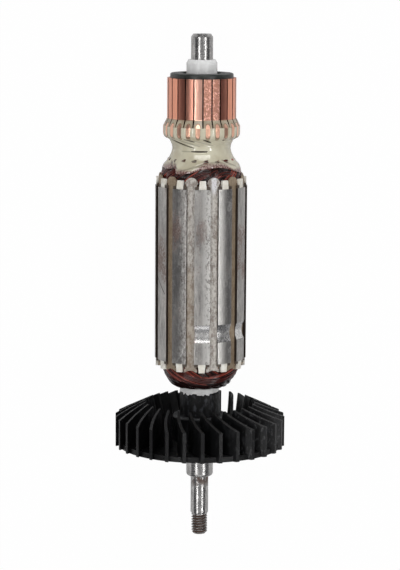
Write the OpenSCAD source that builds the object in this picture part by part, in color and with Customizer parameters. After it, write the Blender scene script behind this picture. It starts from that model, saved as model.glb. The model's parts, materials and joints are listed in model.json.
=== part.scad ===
// Armature of a small universal motor, lying as it comes to rest on a level surface.
// Each piece is drawn about its own axis, with s = 0 at the threaded tip of the shaft
// and s growing towards the commutator, and is then laid down by the module at_rest.

/* [Shaft] */
// Radius of the thread that holds the pinion nut
thread_r = 3.0; // [2.5:0.1:3.2]
// Length of the thread, with its chamfered tip
thread_len = 8.0; // [6:0.5:12]
// Length of the chamfer at the threaded tip
tip_chamfer = 0.8; // [0.4:0.1:1.2]
// Radius of the plain seat for the pinion
pinion_seat_r = 3.3; // [3.3:0.1:3.8]
// Length of the pinion seat
pinion_seat_len = 14.4; // [10:0.2:20]
// Radius of the bearing journal at the drive end
drive_journal_r = 5.0; // [4.5:0.1:5.1]
// Length of the bearing journal at the drive end
drive_journal_len = 12.1; // [8:0.1:16]
// Radius rounded off where the journal meets the pinion seat
journal_corner = 1.2; // [0.6:0.1:1.4]
// Radius of the shaft inside the fan and the core
body_r = 5.25; // [5.15:0.05:5.5]
// Radius of the shaft inside the commutator
commutator_seat_r = 4.25; // [4.1:0.05:4.6]
// Radius of the bearing journal at the commutator end
end_journal_r = 4.0; // [3.5:0.1:4.0]
// Length of the bearing journal at the commutator end, with its chamfer
end_journal_len = 9.3; // [7:0.1:14]
// Length of the chamfer at the commutator end
end_chamfer = 1.1; // [0.5:0.1:1.5]
// Depth of both end chamfers
chamfer_depth = 0.75; // [0.4:0.05:1]

/* [Fan] */
// Outer radius of the fan over its blades
fan_r = 31.7; // [29:0.1:34]
// Number of blades
blade_count = 30; // [24:2:36]
// Height of a blade at its outer edge
blade_tip_h = 11.1; // [9:0.1:13]
// Height of a blade at its inner corner
blade_root_h = 16.5; // [14:0.1:18]
// Radius of a blade's inner corner
blade_root_r = 20.4; // [18:0.1:23]
// Radius at which a blade's inner edge meets the backplate
blade_foot_r = 17.0; // [14:0.1:18]
// Angle by which a blade's foot lags its outer edge
blade_sweep = 15; // [8:1:20]
// Radius of a blade's curve, seen along the axis
blade_curve_r = 26; // [20:1:60]
// Thickness of a blade at its outer edge
blade_tip_t = 1.3; // [1:0.1:1.8]
// Thickness of a blade at its foot
blade_root_t = 0.8; // [0.7:0.1:1.2]
// Radius of the fan's backplate
backplate_r = 30.5; // [27:0.1:31.2]
// Thickness of the backplate
backplate_t = 2.0; // [1.5:0.1:3]
// Radius of the hub's foot
hub_foot_r = 10.3; // [9:0.1:12]
// Height of the hub's foot above the fan's lower face
hub_foot_h = 11.5; // [8:0.1:13]
// Radius of the hub's collar
hub_collar_r = 7.54; // [7:0.02:8.5]
// Height of the hub over all
hub_h = 20.5; // [17.5:0.1:24]
// Chamfer on the hub's foot and collar
hub_chamfer = 0.6; // [0.3:0.1:0.7]

/* [Shaft insulation] */
// Radius of the white flange between the fan and the winding
flange_r = 7.0; // [6.8:0.1:7.5]
// Thickness of that flange
flange_t = 2.0; // [1.5:0.1:3]
// Outer radius of the insulating tube on the shaft
tube_r = 6.2; // [5.9:0.05:6.6]

/* [Core] */
// Radius of the lamination stack
core_r = 16.95; // [16.8:0.05:17.5]
// Length of the lamination stack
core_len = 64.2; // [50:0.2:80]
// Height of the winding head between the flange and the core
fan_head_len = 11.0; // [10:0.1:13]
// Number of slots
slot_count = 12; // [12:1:12]
// Width of a slot's mouth
slot_mouth_w = 3.07; // [2.5:0.01:3.4]
// Thickness of the tooth tips beside the mouth
tooth_tip_t = 1.25; // [1.15:0.05:1.6]
// Width of a slot behind the tooth tips
slot_top_w = 4.9; // [4.7:0.1:5.0]
// Width of a slot where its rounded bottom starts
slot_foot_w = 1.6; // [1.3:0.1:2]
// Radius at which the rounded bottom of a slot starts
slot_foot_r = 9.4; // [9:0.1:10]
// Length of the milled balance cut along the axis
balance_len = 6.6; // [4:0.1:8]
// Depth of the balance cut
balance_depth = 0.9; // [0.4:0.05:1]
// Distance from the core's fan end to the middle of the balance cut
balance_s = 11.3; // [8:0.1:30]
// Angle at which the balance cut starts
balance_start = 170; // [90:1:240]
// Angle over which the balance cut runs
balance_sweep = 83; // [40:1:120]

/* [Slot insulation] */
// Thickness of the sheet that lines each slot
liner_t = 0.3; // [0.2:0.05:0.4]
// Length of liner that stands out of the core at each end
liner_out = 1.8; // [1.4:0.1:2]
// Thickness of the strip that closes each slot
wedge_t = 0.5; // [0.4:0.05:0.6]
// Width of that strip inside the core
wedge_w = 3.9; // [3.5:0.05:3.95]
// Width of its flared ends
wedge_flare_w = 4.8; // [4.2:0.1:4.9]
// Length of its rounded end beyond the core, at the commutator
wedge_out_top = 4.3; // [4.2:0.1:5]
// Length of its notched end beyond the core, at the fan
wedge_out_fan = 3.1; // [3:0.1:3.6]
// Thickness of the insulating plate on each end of the core
plate_t = 1.0; // [0.8:0.1:1.3]
// Distance from the core's surface in to the edge of those plates
plate_inset = 0.35; // [0.2:0.05:0.6]
// Width of a plate's tab where it leaves the plate
tab_w = 2.8; // [2.4:0.1:3]
// Width of a tab at its tip
tab_tip_w = 2.2; // [1.8:0.1:2.4]
// Height of a tab above the core's end
tab_h = 3.2; // [2.6:0.1:3.6]
// Thickness of a tab
tab_t = 1.2; // [0.8:0.1:1.3]

/* [Winding] */
// Clearance between the winding and the tube, strips and tabs
winding_gap = 0.1; // [0.05:0.05:0.2]
// Height of the bare winding head above the core, at the commutator
top_head_len = 8.0; // [7:0.1:9]
// Depth of the valleys between bundles of wire
bundle_depth = 0.55; // [0.2:0.05:0.8]
// Twist of the bundles of wire for each millimetre of height
bundle_twist = 5; // [2:0.5:8]
// Height of the ridges that the leads make in the resin
lead_ridge = 0.35; // [0.1:0.05:0.5]
// Twist of the leads for each millimetre of height
lead_twist = 4; // [1:0.5:6]

/* [Commutator] */
// Number of bars
bar_count = 24; // [24:12:24]
// Radius of the brush track
track_r = 12.65; // [12.4:0.05:12.9]
// Length of the brush track, up to the flare at the hooks
track_len = 14.6; // [12:0.1:18]
// Length of the flare between the track and the hooks
flare_len = 2.9; // [2:0.1:3.4]
// Radius over the hooks
hook_r = 14.1; // [13.9:0.05:14.3]
// Width of a hook
hook_w = 1.7; // [1.4:0.1:1.9]
// Height of a hook below the bar
hook_h = 4.5; // [4.2:0.1:4.6]
// Thickness of a hook
hook_t = 0.9; // [0.7:0.1:1]
// Height of the resin ring round the hooks
hook_ring_h = 4.7; // [4.6:0.1:5.4]
// Radius of the bend at the lower end of the hooks
hook_bend_r = 2.1; // [1.8:0.1:2.3]
// Width of the sawn slot between bars
bar_slot_w = 0.5; // [0.4:0.05:0.7]
// Radius of the bars' inner face
bar_in_r = 9.2; // [9:0.1:9.5]
// Depth of the anchor under each bar
anchor_depth = 1.1; // [0.8:0.1:1.3]
// Length of the anchor at its root
anchor_len = 6.0; // [4:0.1:8]
// Amount by which the anchor grows towards its foot, at each end
anchor_flare = 0.7; // [0.4:0.1:1]
// Radius of the moulded disc over the bars
disc_r = 11.6; // [11:0.1:12.2]
// Thickness of that disc
disc_t = 1.7; // [1.4:0.1:2.5]
// Radius of the recess in the disc
recess_r = 7.2; // [6.6:0.1:8]
// Depth of the recess
recess_depth = 1.2; // [0.8:0.1:1.3]
// Rounding of the disc's edge
disc_edge = 0.6; // [0.3:0.1:0.8]
// Radius of the white collar on the shaft
collar_r = 5.66; // [5.2:0.02:6]
// Length of the collar above the disc
collar_len = 4.9; // [3:0.1:7]
// Length of the chamfer at the collar's end
collar_chamfer = 1.2; // [0.6:0.1:1.5]
// Depth of the chamfer at the collar's end
collar_chamfer_depth = 0.7; // [0.4:0.05:0.9]
// Height of the resin neck between the winding and the hooks
resin_neck_len = 9.3; // [8.5:0.1:10]
// Distance from the hooks' surface in to the resin between them
resin_inset = 0.15; // [0.1:0.05:0.3]

/* [Hidden] */
$fn = 96;

// Stations along the shaft
seat_s = thread_len;
drive_journal_s = seat_s + pinion_seat_len;
fan_s = drive_journal_s + drive_journal_len;
flange_s = fan_s + hub_h;
fan_head_s = flange_s + flange_t;
core_s = fan_head_s + fan_head_len;
core_end_s = core_s + core_len;
resin_s = core_end_s + top_head_len;
hook_ring_s = resin_s + resin_neck_len;
bar_s = hook_ring_s + hook_ring_h;
track_s = bar_s + flare_len;
bar_end_s = track_s + track_len;
disc_end_s = bar_end_s + disc_t;
end_journal_s = disc_end_s + collar_len;
shaft_end_s = end_journal_s + end_journal_len;

slot_pitch = 360 / slot_count;
bar_pitch = 360 / bar_count;
blade_pitch = 360 / blade_count;

// The armature rests on two neighbouring blade corners and on the end of the lowest bar
blade_top_s = fan_s + blade_tip_h;
blade_tip_half = asin(blade_tip_t / 2 / fan_r);
blade_rest_r = fan_r * cos(blade_pitch / 2 - blade_tip_half);
rest_tilt = atan((blade_rest_r - track_r) / (bar_end_s - blade_top_s));
rest_roll = blade_pitch / 2;
rest_h = blade_top_s * sin(rest_tilt) + blade_rest_r * cos(rest_tilt);
tip_x = -(thread_r - chamfer_depth) * sin(rest_tilt);
end_x = shaft_end_s * cos(rest_tilt) + (end_journal_r - chamfer_depth) * sin(rest_tilt);
mid_x = (tip_x + end_x) / 2;

function numbered(name, count) = [for (i = [1:count]) str(name, "_", i < 10 ? "0" : "", i)];
bar_names = numbered("commutator_bar", bar_count);
liner_names = numbered("slot_liner", slot_count);
wedge_names = numbered("slot_wedge", slot_count);

module at_rest() {
    translate([-mid_x, 0, rest_h]) rotate([0, 90 + rest_tilt, 0]) rotate([0, 0, rest_roll]) children();
}

// ---- shaft -------------------------------------------------------------

module shaft() {
    color("silver") at_rest() rotate_extrude() difference() {
        polygon([
            [0, 0],
            [thread_r - chamfer_depth, 0],
            [thread_r, tip_chamfer],
            [thread_r, seat_s],
            [pinion_seat_r, seat_s + pinion_seat_r - thread_r],
            [pinion_seat_r, drive_journal_s],
            [drive_journal_r, drive_journal_s],
            [drive_journal_r, fan_s],
            [body_r, fan_s],
            [body_r, hook_ring_s],
            [commutator_seat_r, hook_ring_s],
            [commutator_seat_r, end_journal_s],
            [end_journal_r, end_journal_s],
            [end_journal_r, shaft_end_s - end_chamfer],
            [end_journal_r - chamfer_depth, shaft_end_s],
            [0, shaft_end_s]
        ]);
        // the journal's lower corner is rounded off
        translate([drive_journal_r - journal_corner, drive_journal_s]) difference() {
            square(journal_corner + chamfer_depth);
            translate([0, journal_corner]) circle(journal_corner);
            translate([0, journal_corner]) square(journal_corner + chamfer_depth);
        }
    }
}

// ---- fan ---------------------------------------------------------------

function on_circle(r, a) = [r * cos(a), r * sin(a)];

// Centre of the circle of radius r through p and q, on the left of the way from p to q
function arc_centre(p, q, r) =
    let (d = q - p, half = norm(d) / 2, away = sqrt(r * r - half * half))
    (p + q) / 2 + away * [-d[1], d[0]] / norm(d);

// Half a blade's angle at its foot
blade_foot_half = asin(blade_root_t / 2 / blade_foot_r);

// A blade's section is the crescent between two arcs of one radius
module blade_section() {
    ahead = arc_centre(
        on_circle(blade_foot_r, blade_foot_half - blade_sweep), on_circle(fan_r, blade_tip_half), blade_curve_r);
    behind = arc_centre(
        on_circle(blade_foot_r, -blade_foot_half - blade_sweep), on_circle(fan_r, -blade_tip_half), blade_curve_r);
    sector_r = 2 * fan_r;
    intersection() {
        difference() {
            translate(behind) circle(blade_curve_r);
            translate(ahead) circle(blade_curve_r);
        }
        polygon([[0, 0], on_circle(sector_r, -blade_sweep - blade_pitch), on_circle(sector_r, blade_pitch / 2)]);
    }
}

module blades() {
    intersection() {
        translate([0, 0, fan_s]) linear_extrude(blade_root_h)
            for (i = [0:blade_count - 1]) rotate(i * blade_pitch) blade_section();
        rotate_extrude() polygon([
            [blade_foot_r, fan_s],
            [fan_r, fan_s],
            [fan_r, blade_top_s],
            [blade_root_r, fan_s + blade_root_h],
            [blade_foot_r, fan_s + backplate_t]
        ]);
    }
}

module fan() {
    color([0.1, 0.1, 0.11]) at_rest() {
        blades();
        rotate_extrude() polygon([
            [body_r, fan_s],
            [backplate_r, fan_s],
            [backplate_r, fan_s + backplate_t],
            [hub_foot_r, fan_s + backplate_t],
            [hub_foot_r, fan_s + hub_foot_h - hub_chamfer],
            [hub_foot_r - hub_chamfer, fan_s + hub_foot_h],
            [hub_collar_r, fan_s + hub_foot_h],
            [hub_collar_r, flange_s - hub_chamfer],
            [hub_collar_r - hub_chamfer, flange_s],
            [body_r, flange_s]
        ]);
    }
}

// ---- shaft insulation --------------------------------------------------

module shaft_insulator() {
    color("white") at_rest() rotate_extrude() polygon([
        [body_r, flange_s],
        [flange_r, flange_s],
        [flange_r, fan_head_s],
        [tube_r, fan_head_s],
        [tube_r, hook_ring_s],
        [body_r, hook_ring_s]
    ]);
}

// ---- core --------------------------------------------------------------

slot_top_r = core_r - tooth_tip_t;

// Outline of a slot centred on +X, its walls moved in by inset; open moves the top out through the mouth
module slot_outline(inset, open) {
    top_r = slot_top_r + open;
    grow = (slot_top_w - slot_foot_w) / (slot_top_r - slot_foot_r);
    top_half = (slot_top_w + grow * open) / 2 - inset;
    foot_half = slot_foot_w / 2 - inset;
    polygon([[slot_foot_r, -foot_half], [top_r, -top_half], [top_r, top_half], [slot_foot_r, foot_half]]);
    translate([slot_foot_r, 0]) circle(foot_half);
}

module slots_section() {
    for (i = [0:slot_count - 1]) rotate((i + 0.5) * slot_pitch) {
        slot_outline(0, 0);
        translate([slot_foot_r, -slot_mouth_w / 2]) square([core_r, slot_mouth_w]);
    }
}

module balance_cut() {
    cutter_r = (balance_len * balance_len / 4 + balance_depth * balance_depth) / (2 * balance_depth);
    rotate_extrude(angle = balance_sweep, start = balance_start)
        translate([core_r - balance_depth + cutter_r, core_s + balance_s]) circle(cutter_r);
}

module core() {
    color([0.6, 0.58, 0.56]) at_rest() difference() {
        translate([0, 0, core_s]) linear_extrude(core_len) difference() {
            circle(core_r);
            circle(tube_r);
            slots_section();
        }
        balance_cut();
    }
}

// Plate on the core's end with a tab on every tooth; it stands on z = 0
module end_insulator() {
    tab_r = core_r - plate_inset;
    linear_extrude(plate_t) difference() {
        circle(tab_r);
        circle(tube_r);
        slots_section();
    }
    intersection() {
        for (i = [0:slot_count - 1]) rotate([90, 0, i * slot_pitch + 90])
            linear_extrude(2 * core_r) polygon([
                [-tab_w / 2, 0], [tab_w / 2, 0], [tab_tip_w / 2, tab_h], [-tab_tip_w / 2, tab_h]
            ]);
        difference() {
            cylinder(h = tab_h, r = tab_r);
            cylinder(h = tab_h, r = tab_r - tab_t);
        }
    }
}

module end_insulator_fan_end() {
    color("ivory") at_rest() translate([0, 0, core_s]) mirror([0, 0, 1]) end_insulator();
}

module end_insulator_commutator_end() {
    color("ivory") at_rest() translate([0, 0, core_end_s]) end_insulator();
}

module slot_liner(i) {
    color("saddlebrown") at_rest() rotate((i - 0.5) * slot_pitch) translate([0, 0, core_s - liner_out])
        linear_extrude(core_len + 2 * liner_out) difference() {
            slot_outline(0, 0);
            slot_outline(liner_t, liner_t);
        }
}

wedge_r = slot_top_r - wedge_t;

// Strip that closes a slot, with a rounded end at the commutator and a notched one at the fan
module slot_wedge(i) {
    neck = liner_out + winding_gap;
    half = wedge_w / 2;
    flare = wedge_flare_w / 2;
    fan_end = core_s - wedge_out_fan;
    round_s = core_end_s + wedge_out_top - flare;
    color("tan") at_rest() rotate((i - 0.5) * slot_pitch) translate([wedge_r, 0, 0]) rotate([90, 0, 90])
        linear_extrude(wedge_t) {
            difference() {
                polygon([
                    [-flare, fan_end],
                    [flare, fan_end],
                    [flare, core_s - neck - winding_gap],
                    [half, core_s - neck],
                    [half, core_end_s + neck],
                    [flare, max(round_s, core_end_s + neck + winding_gap)],
                    [-flare, max(round_s, core_end_s + neck + winding_gap)],
                    [-half, core_end_s + neck],
                    [-half, core_s - neck],
                    [-flare, core_s - neck - winding_gap]
                ]);
                translate([0, fan_end - flare]) circle(flare + winding_gap + wedge_t);
            }
            intersection() {
                translate([0, round_s]) circle(flare);
                translate([-flare, core_end_s + neck + winding_gap]) square(wedge_flare_w);
            }
        }
}

// ---- winding -----------------------------------------------------------

module slot_coils() {
    coil_top_r = wedge_r;
    color([0.35, 0.12, 0.08]) at_rest() translate([0, 0, core_s - liner_out])
        linear_extrude(core_len + 2 * liner_out) intersection() {
            for (i = [0:slot_count - 1]) rotate((i + 0.5) * slot_pitch) intersection() {
                slot_outline(liner_t, 0);
                square([2 * coil_top_r, slot_top_w], center = true);
            }
        }
}

columns = 120;

// Closed ring between the radius inner_r and the surface outer(z, a), with one row of points at each level
module lobed_ring(levels, inner_r, outer) {
    rows = len(levels);
    skin = [for (z = levels, c = [0:columns - 1])
        let (a = c * 360 / columns, r = outer(z, a)) [r * cos(a), r * sin(a), z]];
    bore = [for (z = [levels[0], levels[rows - 1]], c = [0:columns - 1])
        let (a = c * 360 / columns) [inner_r * cos(a), inner_r * sin(a), z]];
    // rows of points from the bottom of the bore, up the skin and back to the top of the bore
    order = concat([rows], [for (k = [0:rows - 1]) k], [rows + 1]);
    loops = len(order);
    faces = [for (k = [0:loops - 1], c = [0:columns - 1], half = [0, 1])
        let (
            low = order[k] * columns,
            high = order[(k + 1) % loops] * columns,
            next = (c + 1) % columns
        )
        half == 0 ? [low + c, high + c, high + next] : [low + c, high + next, low + next]];
    polyhedron(concat(skin, bore), faces);
}

// Bundles of wire that cross: two families of lobes, turning opposite ways with the height
function bundle_dip(z, a) = bundle_depth * (1 - max(
    abs(cos(slot_count / 2 * (a + bundle_twist * z))), abs(cos(slot_count / 2 * (a - bundle_twist * z)))));

fan_head_profile = [[0, 7.7], [0.8, 8.1], [2, 9.9], [3.2, 11.4], [4.6, 12.7], [6.4, 13.6], [8, 14.2], [9.2, 14.6]];
top_head_profile = [[0, 14.7], [1.2, 14.9], [2.6, 14.6], [4.2, 14.0], [6.2, 13.1]];
neck_profile = [[0, 13.1], [1.2, 12.3], [2.6, 11.4], [4.2, 10.8], [5.7, 10.6], [7.2, 10.8], [8.3, 11.3], [9.3, 11.95]];

module winding_head_fan_end() {
    head_len = fan_head_len - liner_out;
    levels = [for (k = [0:10]) head_len * k / 10];
    stretch = fan_head_profile[len(fan_head_profile) - 1][0] / head_len;
    color([0.35, 0.1, 0.08]) at_rest() translate([0, 0, fan_head_s])
        lobed_ring(levels, tube_r + winding_gap,
            function(z, a) lookup(z * stretch, fan_head_profile) - bundle_dip(z, a) * sin(180 * z / head_len));
}

module winding_head_commutator_end() {
    head_len = top_head_len - liner_out;
    levels = [for (k = [0:7]) head_len * k / 7];
    stretch = top_head_profile[len(top_head_profile) - 1][0] / head_len;
    color([0.35, 0.1, 0.08]) at_rest() translate([0, 0, core_end_s + liner_out])
        lobed_ring(levels, tube_r + winding_gap,
            function(z, a) lookup(z * stretch, top_head_profile) - bundle_dip(z, a) * sin(180 * z / head_len));
}

// ---- commutator --------------------------------------------------------

// Band from the hooks' surface inwards: straight at the top, bent in at its lower end
module hook_band(surface_r, depth) {
    bend_s = hook_ring_s + hook_bend_r;
    translate([surface_r - depth, bend_s]) square([depth, bar_s - bend_s]);
    intersection() {
        translate([surface_r - hook_bend_r, bend_s]) difference() {
            circle(hook_bend_r);
            circle(hook_bend_r - depth);
        }
        translate([surface_r - hook_bend_r, hook_ring_s]) square(hook_bend_r);
    }
}

// A hook's outline seen from the side, as a bar of that section along +X
module hook_prism() {
    end_s = bar_s - hook_h + hook_w / 2;
    rotate([90, 0, 90]) linear_extrude(2 * hook_r) {
        translate([0, end_s]) circle(hook_w / 2);
        translate([-hook_w / 2, end_s]) square([hook_w, bar_s - end_s]);
    }
}

module hook() {
    intersection() {
        hook_prism();
        rotate_extrude(angle = bar_pitch, start = -bar_pitch / 2) hook_band(hook_r, hook_t);
    }
}

// Section of a bar, with its flare at the hooks and its anchor in the moulding
module bar_section() {
    anchor_mid = (track_s + bar_end_s) / 2;
    polygon([
        [bar_in_r, bar_s],
        [hook_r, bar_s],
        [track_r, track_s],
        [track_r, bar_end_s],
        [bar_in_r, bar_end_s],
        [bar_in_r, anchor_mid + anchor_len / 2],
        [bar_in_r - anchor_depth, anchor_mid + anchor_len / 2 + anchor_flare],
        [bar_in_r - anchor_depth, anchor_mid - anchor_len / 2 - anchor_flare],
        [bar_in_r, anchor_mid - anchor_len / 2]
    ]);
}

module commutator_bar(i) {
    color([0.8, 0.5, 0.4]) at_rest() rotate((i - 0.5) * bar_pitch) {
        difference() {
            rotate_extrude(angle = bar_pitch, start = -bar_pitch / 2) bar_section();
            for (side = [-1, 1]) rotate(side * bar_pitch / 2)
                translate([0, -bar_slot_w / 2, bar_s]) cube([2 * hook_r, bar_slot_w, bar_end_s - bar_s]);
        }
        hook();
    }
}

module commutator_moulding() {
    color([0.17, 0.19, 0.18]) at_rest() rotate_extrude() difference() {
        union() {
            translate([commutator_seat_r, hook_ring_s])
                square([bar_in_r - commutator_seat_r, bar_end_s - hook_ring_s]);
            translate([commutator_seat_r, bar_end_s]) square([disc_r - disc_edge - commutator_seat_r, disc_t]);
            translate([commutator_seat_r, bar_end_s]) square([disc_r - commutator_seat_r, disc_t - disc_edge]);
            translate([disc_r - disc_edge, disc_end_s - disc_edge]) circle(disc_edge);
        }
        bar_section();
        translate([0, disc_end_s - recess_depth]) square([recess_r, disc_t]);
    }
}

module commutator_collar() {
    color("white") at_rest() rotate_extrude() polygon([
        [commutator_seat_r, disc_end_s - recess_depth],
        [collar_r, disc_end_s - recess_depth],
        [collar_r, end_journal_s - collar_chamfer],
        [collar_r - collar_chamfer_depth, end_journal_s],
        [commutator_seat_r, end_journal_s]
    ]);
}

// Resin that locks the leads: a ring round the hooks over a neck ridged by the leads
module lead_resin() {
    levels = [for (k = [0:9]) resin_neck_len * k / 9];
    stretch = neck_profile[len(neck_profile) - 1][0] / resin_neck_len;
    color([0.8, 0.75, 0.65]) at_rest() {
        translate([0, 0, resin_s]) lobed_ring(levels, tube_r + winding_gap,
            function(z, a) lookup(z * stretch, neck_profile)
                + lead_ridge * cos(bar_count * (a + lead_twist * z)) * sin(180 * z / resin_neck_len));
        difference() {
            rotate_extrude() {
                translate([bar_in_r, hook_ring_s])
                    square([hook_r - resin_inset - hook_bend_r - bar_in_r, bar_s - hook_ring_s]);
                hook_band(hook_r - resin_inset, hook_bend_r);
            }
            for (i = [0:bar_count - 1]) rotate((i + 0.5) * bar_pitch) hook();
        }
    }
}

shaft();
fan();
shaft_insulator();
core();
end_insulator_fan_end();
end_insulator_commutator_end();
slot_coils();
winding_head_fan_end();
winding_head_commutator_end();
lead_resin();
commutator_moulding();
commutator_collar();
for (i = [1:slot_count]) slot_liner(i);
for (i = [1:slot_count]) slot_wedge(i);
for (i = [1:bar_count]) commutator_bar(i);
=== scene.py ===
import json
import math
import bpy
import numpy as np
from mathutils import Matrix, Vector


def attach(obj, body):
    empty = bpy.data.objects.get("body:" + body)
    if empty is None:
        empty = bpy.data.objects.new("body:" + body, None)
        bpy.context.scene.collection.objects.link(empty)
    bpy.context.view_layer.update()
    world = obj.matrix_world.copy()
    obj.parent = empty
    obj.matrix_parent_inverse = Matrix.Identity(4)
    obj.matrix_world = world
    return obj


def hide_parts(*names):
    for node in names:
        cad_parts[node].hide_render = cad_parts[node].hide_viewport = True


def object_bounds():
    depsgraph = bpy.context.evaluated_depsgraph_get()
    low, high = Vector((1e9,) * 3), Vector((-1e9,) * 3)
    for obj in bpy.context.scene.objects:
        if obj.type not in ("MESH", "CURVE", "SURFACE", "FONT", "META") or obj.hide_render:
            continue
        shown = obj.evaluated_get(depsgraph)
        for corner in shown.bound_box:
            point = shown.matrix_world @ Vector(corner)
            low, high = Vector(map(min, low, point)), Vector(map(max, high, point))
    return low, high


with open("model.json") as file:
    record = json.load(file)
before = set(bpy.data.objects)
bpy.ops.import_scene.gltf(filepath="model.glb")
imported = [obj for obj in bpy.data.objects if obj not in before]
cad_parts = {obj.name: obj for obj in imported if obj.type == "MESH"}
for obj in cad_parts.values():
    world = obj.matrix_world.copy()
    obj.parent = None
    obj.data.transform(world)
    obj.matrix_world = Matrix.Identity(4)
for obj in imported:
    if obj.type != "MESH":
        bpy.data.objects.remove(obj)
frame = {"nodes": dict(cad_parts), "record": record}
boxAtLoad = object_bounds()
mounts = {mount["name"]: mount for mount in frame["record"]["mounts"]}
print("armature loaded")

# The shaft's own directions: along it towards the commutator, down, and across.
# Stations are millimetres from the threaded tip, and angles turn from down to across.
journal = mounts["commutator_end_journal"]
along = np.array(journal["axis"], float)
along = along / np.linalg.norm(along)
across = np.array([0.0, 1.0, 0.0])
down = np.cross(across, along)


def nodePoints(name):
    mesh = frame["nodes"][name].data
    points = np.empty(len(mesh.vertices) * 3, np.float32)
    mesh.vertices.foreach_get("co", points)
    return points.reshape(-1, 3).astype(float)


tipReach = (nodePoints("shaft") @ along).min()
axisPoint = np.array(journal["pos_m"], float)
tip = axisPoint + (tipReach - axisPoint @ along) * along


def unrolled(name):
    # station, radius and angle of a node's corners
    fromTip = (nodePoints(name) - tip) * 1000
    u = fromTip @ down
    v = fromTip @ across
    return fromTip @ along, np.hypot(u, v), np.arctan2(v, u)


def place(station, radius, angle):
    # point = tip + station * along + radius * (cos(angle) * down + sin(angle) * across)
    s, r, a = np.broadcast_arrays(station, radius, angle)
    side = (r * np.cos(a))[..., None] * down + (r * np.sin(a))[..., None] * across
    return tip + 0.001 * (s[..., None] * along + side)


def span(name):
    station = unrolled(name)[0]
    return station.min(), station.max()


def outline(name):
    # stations and greatest radii of a node's rings of corners, the lowest station first
    station, radius, _ = unrolled(name)
    levels = np.unique(np.round(station, 2))
    return levels, np.array([radius[np.abs(station - level) < 0.02].max() for level in levels])


def smoothStep(low, high, value):
    # 3 t^2 - 2 t^3, where t runs from 0 at low to 1 at high
    t = np.clip((value - low) / (high - low), 0, 1)
    return t * t * (3 - 2 * t)


stageSetup = {
    "frontAngle": 184.0,  # side of the armature that faces the camera, in degrees
    "cameraRise": 9.22,  # degrees of the camera above the plane square to the shaft
    "cameraDistance": 793.6,
    "cameraFromCore": -5.26,  # from the core's middle to the station that the camera looks at
    "cameraSide": 0.238,  # the shaft's distance to the right of the camera's line
    "cameraRoll": 0.342,
    "lens": 135.0,
    "floorSize": 12.0,
    "floorColour": (0.86, 0.86, 0.86, 1),
    "floorGlow": 0.98,  # share of plain white in the floor, as the camera sees it
    "worldColour": (0.10, 0.10, 0.105, 1),
    # lights: degrees round the shaft from the front, angular width, length in metres, shift along
    # the shaft in metres, radiance
    "lights": [
        (-28, 7.5, 0.56, -0.14, 8.5), (37, 7.5, 0.56, -0.14, 9.5), (4, 46, 0.9, -0.14, 0.32),
        (-112, 64, 1.4, -0.1, 0.9), (118, 64, 1.4, -0.1, 0.9),
        (4, 70, 0.5, 0.95, 4.6), (4, 60, 0.5, -1.25, 3.4),
    ],
    "lightDistance": 0.9,
}
front = math.radians(stageSetup["frontAngle"])
coreStart, coreEnd = span("core")
cameraStation = (coreStart + coreEnd) / 2 + stageSetup["cameraFromCore"]


# A socket in plain arithmetic, and a material as a set of nodes.

class Value:
    def __init__(self, finish, socket):
        self.finish = finish
        self.socket = socket

    def maths(self, operation, *others):
        inputs = dict(enumerate((self,) + others))
        return self.finish.node("ShaderNodeMath", {"operation": operation}, inputs)

    def __add__(self, other):
        return self.maths("ADD", other)

    def __mul__(self, other):
        return self.maths("MULTIPLY", other)

    def __sub__(self, other):
        return self.maths("SUBTRACT", other)

    def __truediv__(self, other):
        return self.maths("DIVIDE", other)

    def __rsub__(self, other):
        return self.finish.node("ShaderNodeMath", {"operation": "SUBTRACT"}, {0: other, 1: self})

    __radd__ = __add__
    __rmul__ = __mul__


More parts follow.
